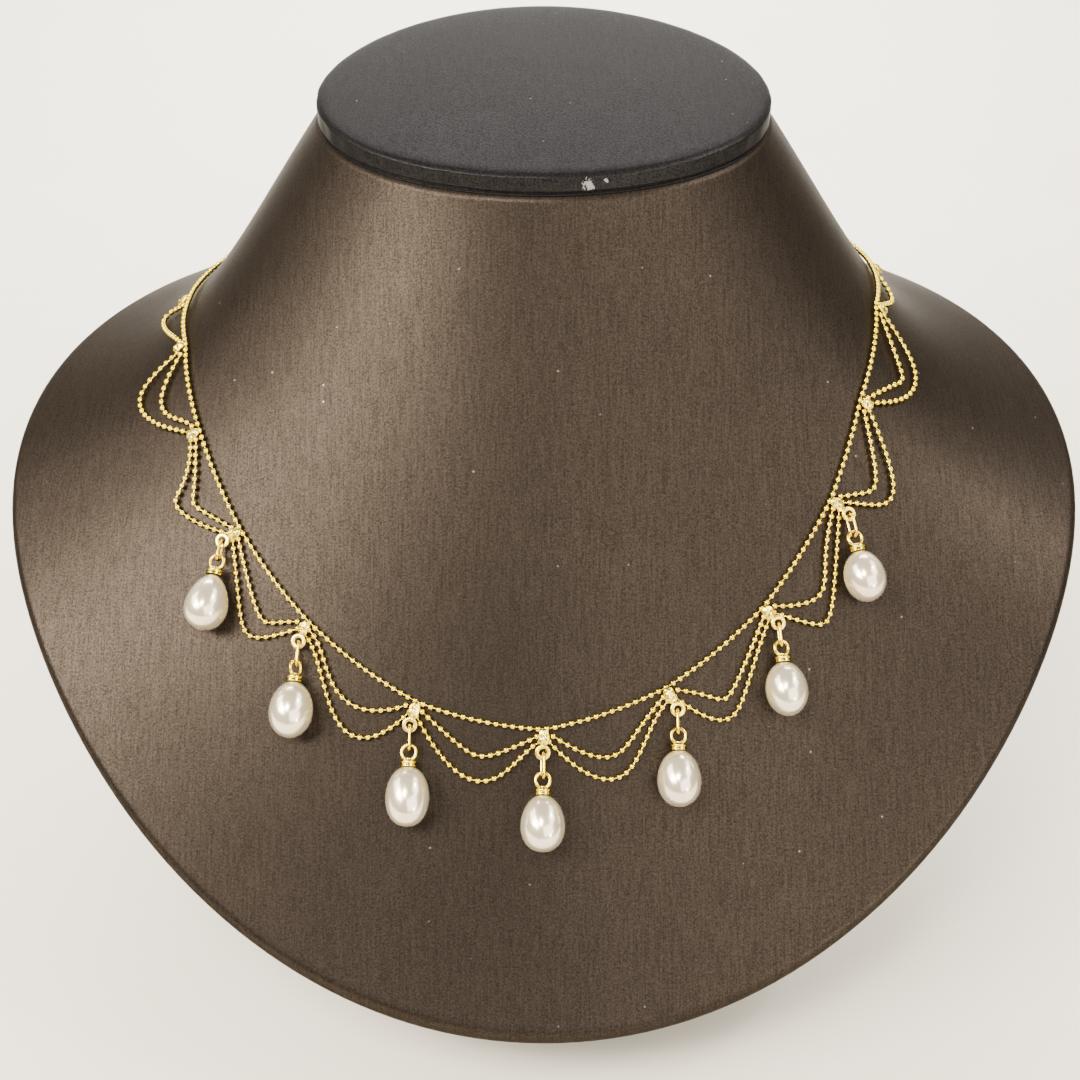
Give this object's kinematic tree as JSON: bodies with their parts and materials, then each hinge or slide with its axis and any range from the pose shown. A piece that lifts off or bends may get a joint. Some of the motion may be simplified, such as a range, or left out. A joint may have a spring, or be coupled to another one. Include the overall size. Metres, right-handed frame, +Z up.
{
  "type": "layered necklace on neck bust",
  "caption": "Gold ball-chain necklace with small festoons and white pearl drops, worn on a padded leatherette neck bust with a flat base",
  "frame": {"origin": "middle of the width and depth of the whole bust, on the underside of its base board", "axes": "+Z up, -Y is the front of the bust, +X is to the right of a viewer who faces the front"},
  "size_m": [0.1974, 0.1688, 0.1528],
  "materials": {
    "bust_skin": "brushed leatherette with a slight glitter",
    "board": "plain dark board",
    "gold_chain": "polished yellow gold",
    "bright_gold": "bright polished pale gold",
    "pearl": "cream-white pearl lustre"
  },
  "bodies": {
    "root": {"bust_body": "bust_skin", "neck_cap": "bust_skin", "base_board": "board", "main_chain": "gold_chain", "clasp": "gold_chain", "festoon_1": "gold_chain", "festoon_2": "gold_chain", "festoon_3": "gold_chain", "festoon_4": "gold_chain", "festoon_5": "gold_chain", "festoon_6": "gold_chain", "festoon_7": "gold_chain", "festoon_8": "gold_chain", "festoon_9": "gold_chain", "festoon_10": "gold_chain", "festoon_11": "gold_chain", "festoon_12": "gold_chain", "solder_joint_1": "bright_gold", "solder_joint_2": "bright_gold", "solder_joint_3": "bright_gold", "solder_joint_4": "bright_gold", "solder_joint_5": "bright_gold", "solder_joint_6": "bright_gold", "ring_station_1": "bright_gold", "ring_station_2": "bright_gold", "ring_station_3": "bright_gold", "ring_station_4": "bright_gold", "ring_station_5": "bright_gold", "ring_station_6": "bright_gold", "ring_station_7": "bright_gold", "link_1": "gold_chain", "link_2": "gold_chain", "link_3": "gold_chain", "link_4": "gold_chain", "link_5": "gold_chain", "link_6": "gold_chain", "link_7": "gold_chain", "pearl_cap_1": "gold_chain", "pearl_cap_2": "gold_chain", "pearl_cap_3": "gold_chain", "pearl_cap_4": "gold_chain", "pearl_cap_5": "gold_chain", "pearl_cap_6": "gold_chain", "pearl_cap_7": "gold_chain", "pearl_1": "pearl", "pearl_2": "pearl", "pearl_3": "pearl", "pearl_4": "pearl", "pearl_5": "pearl", "pearl_6": "pearl", "pearl_7": "pearl"}
  },
  "joints": []
}
